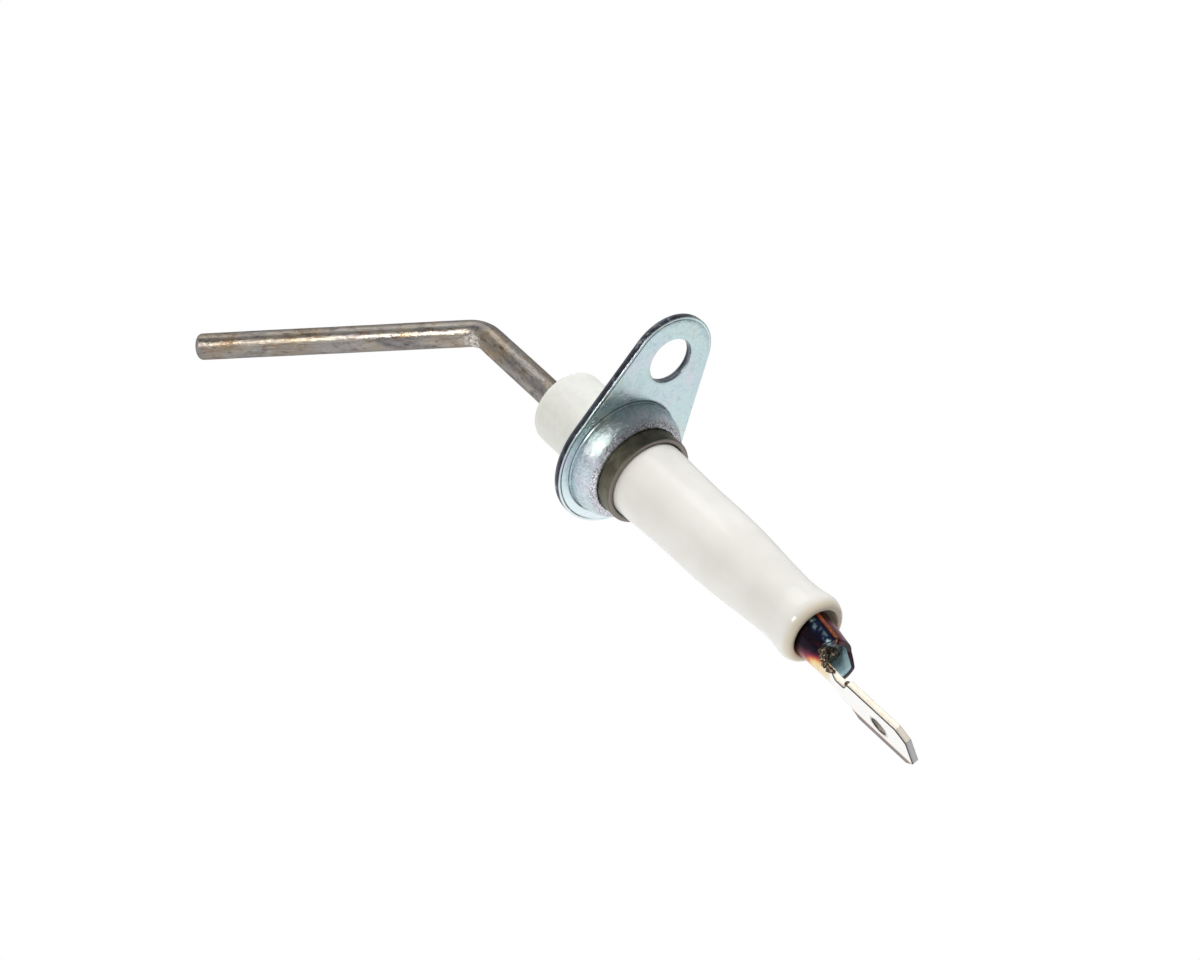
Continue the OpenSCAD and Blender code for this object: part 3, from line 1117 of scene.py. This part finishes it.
def lump(centre, radius, seed, squash):
    """A rough rounded lump as points and faces, in the terminal's frame."""
    points, faces = [], []
    rows, columns = 14, 20
    for i in range(rows + 1):
        up = math.pi * i / rows
        wide, high = math.sin(up), math.cos(up) * squash
        for a in turns_of(columns):
            way = Vector((wide * math.cos(a), wide * math.sin(a), high))
            r = radius * (1 + 0.28 * grain(way, 0.8, seed) + 0.14 * grain(way, 0.3, seed + 1))
            points.append(Vector(centre) + way * r)
    for i in range(rows):
        for j in range(columns):
            k = (j + 1) % columns
            this, above = i * columns, (i + 1) * columns
            faces.append((this + j, this + k, above + k, above + j))
    return points, faces


def terminal_weld():
    """The weld: a rough pool inside the barrel's end and a run of spatter along the near edge."""
    placed = on_rod(TAB_CLOCK)
    points, faces = [], []
    # (centre, radius, seed of the roughness, height as a share of the width)
    lumps = [((37.0, 0.0, -0.4), 1.15, 1.0, 0.9), ((38.0, -0.8, -1.45), 0.60, 2.0, 0.6)]
    for k in range(26):
        x = 37.6 + 0.12 * k
        side = -1.80 + 0.20 * math.sin(2.7 * k)
        high = 0.45 + 0.80 * smooth((39.4 - x) / 1.6)
        up = TAB_FLOOR + high + 0.22 * math.sin(1.9 * k)
        lumps.append(((x, side, up), 0.25 - 0.003 * k, 3.0 + k, 0.9))
    lumps.append(((42.7, -1.75, TAB_FLOOR + 0.55), 0.36, 40.0, 0.9))
    for centre, radius, seed, squash in lumps:
        made, quads = lump(centre, radius, seed, squash)
        first = len(points)
        points.extend(placed @ p for p in made)
        faces.extend(tuple(first + n for n in quad) for quad in quads)
    mesh = bpy.data.meshes.new("terminal_weld_lumps")
    mesh.from_pydata([p * MM for p in points], [], faces)
    mesh.validate()
    union = add_object("terminal_weld_lumps", mesh)
    remesh = union.modifiers.new("union", "REMESH")
    remesh.mode = "VOXEL"
    remesh.voxel_size = 0.06 * MM
    evaluated = union.evaluated_get(bpy.context.evaluated_depsgraph_get())
    joined = bpy.data.meshes.new_from_object(evaluated)
    bpy.data.objects.remove(union)
    return as_piece(joined, "terminal_weld_pool", weld_metal(), "terminal_weld", 60)


# -------------------------------------------------- the cement


def cement_plug(name, node, material, sink_front, sink_rear):
    """Cement between the bore and the rod, sunk a little in the middle of each end."""
    low, high = corners(node)
    skin = Skin()
    middle = on_rod(0.0).translation
    rod = ROD_R + 0.01
    bore = BORE_R - 0.01
    rings = []

    def ring(x, share):
        """A ring at a share of the way from the rod to the bore."""
        points = []
        for a in turns_of(96):
            way = Vector((0, math.cos(a), math.sin(a)))
            near = Vector((0, middle.y, middle.z)) + way * rod
            rough_x = x + 0.04 * grain((x, *way.yz), 0.4, 3.0)
            points.append(near.lerp(way * bore, share) + Vector((rough_x, 0, 0)))
        return skin.ring(points)

    shares = (0.0, 0.2, 0.4, 0.6, 0.8, 1.0)
    for share in shares:
        rings.append(ring(low.x + sink_front * math.sin(math.pi * share), share))
    for x in np.linspace(low.x, high.x, 9)[1:-1]:
        rings.append(ring(x, 1.0))
    for share in reversed(shares):
        rings.append(ring(high.x - sink_rear * math.sin(math.pi * share), share))
    for x in np.linspace(high.x, low.x, 9)[1:-1]:
        rings.append(ring(x, 0.0))
    skin.bands(rings, closed=True)
    return skin.finish(name, material, "cement", node, 40)


# -------------------------------------------------- camera, floor and light

CAMERA_AT = Vector((175.31, -204.86, 91.46))
FORWARD = Vector((-0.6138, 0.7157, -0.3331))    # the way the camera looks
RIGHT = Vector((0.5778, 0.6948, 0.4281))        # the way its picture's right side points
LENS = 78
SENSOR = 36


def make_camera():
    """The camera, at the viewing angle of the real probe's picture."""
    data = bpy.data.cameras.new("camera")
    data.lens = LENS
    data.sensor_width = SENSOR
    data.sensor_fit = "HORIZONTAL"
    data.clip_start = 10 * MM
    data.clip_end = 20
    made = add_object("camera", data)
    back = -FORWARD.normalized()
    right = (RIGHT - back * RIGHT.dot(back)).normalized()
    up = back.cross(right)
    turn = Matrix((right, up, back)).transposed().to_4x4()
    made.matrix_world = Matrix.Translation(CAMERA_AT * MM) @ turn
    bpy.context.scene.camera = made
    return right, up, back


def make_floor():
    """A plain bright floor, lit from itself so that it throws light up, and clear from below.

    The light it throws fades away from a pool beside the object; the camera sees it evenly white."""
    reach = 3
    z = (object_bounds()[0].z / MM - 1.5) * MM
    pool, pool_edge, pool_end, dim = (0.06, 0.07, z), 0.10, 0.22, 0.35
    mesh = bpy.data.meshes.new("floor")
    square = [(-reach, -reach, z), (reach, -reach, z), (reach, reach, z), (-reach, reach, z)]
    mesh.from_pydata(square, [], [(0, 1, 2, 3)])
    material = bpy.data.materials.new("floor")
    t = Tree(material)
    away = t.measure("DISTANCE", t.node("ShaderNodeTexCoord").outputs["Object"], pool)
    light = t.level(away, pool_edge, pool_end, 1.0, dim)
    seen = t.node("ShaderNodeLightPath").outputs["Is Camera Ray"]
    glow = t.node("ShaderNodeEmission", (1, 1, 1, 1), t.maths("MAXIMUM", light, seen))
    clear = t.node("ShaderNodeBsdfTransparent")
    below = t.node("ShaderNodeNewGeometry").outputs["Backfacing"]
    t.show("ShaderNodeOutputMaterial", below, glow.outputs[0], clear.outputs[0])
    mesh.materials.append(material)
    floor = add_object("floor", mesh)


def make_world(right, back):
    """White where the camera sees it. As light it is bright beyond the object, and dim behind the
    camera, to its right and above."""
    world = bpy.data.worlds.new("studio")
    bpy.context.scene.world = world
    bright, dim = 0.85, 0.28
    t = Tree(world)
    way = t.node("ShaderNodeTexCoord").outputs["Generated"]
    behind = t.measure("DOT_PRODUCT", way, back + right * 0.4 + Vector((0, 0, 0.3)))
    studio = t.node("ShaderNodeBackground")
    t.give(studio.inputs["Strength"], t.level(behind, -0.35, 0.75, bright, dim))
    plain = t.node("ShaderNodeBackground", (1, 1, 1, 1))
    seen = t.node("ShaderNodeLightPath").outputs["Is Camera Ray"]
    t.show("ShaderNodeOutputWorld", seen, studio.outputs[0], plain.outputs[0])


def make_light(name, way, distance, size, power, colour=(1, 1, 1)):
    """A rectangular soft light at a distance, in a direction from the frame's origin."""
    data = bpy.data.lights.new(name, "AREA")
    data.shape = "RECTANGLE"
    data.size, data.size_y = size
    data.energy = power
    data.color = colour
    made = add_object(name, data)
    made.rotation_mode = "QUATERNION"
    made.rotation_quaternion = way.to_track_quat("Z", "Y")
    made.location = way.normalized() * distance
    return made


def make_stage():
    """Camera, floor, world and lights. Each light's direction is given in the camera's axes.

    The top light is hidden from reflections, so it lights the ceramic and hardly any metal."""
    right, up, back = make_camera()
    make_floor()
    make_world(right, back)
    warm = (1, 0.96, 0.88)
    make_light("key", right * -0.52 + up * 0.21 + back * 0.80, 0.6, (0.17, 0.12), 1.35, warm)
    top = make_light("top", right * 0.35 + up * 0.85 + back * 0.25, 0.7, (0.5, 0.35), 3.6)
    top.visible_glossy = False
    make_light("sky", right * -0.25 + up * 0.95 - back * 0.05, 0.7, (0.4, 0.35), 0.5)
    bpy.context.scene.view_settings.view_transform = "Standard"


make_stage()
plug_cement = cement()
sensing_rod()
ceramic_insulator()
mounting_bracket()
retaining_ring()
terminal()
terminal_weld()
cement_plug("front_cement_plug", "front_cement", plug_cement, 0.25, 0.0)
cement_plug("rear_cement_plug", "rear_cement", plug_cement, 0.0, 0.15)
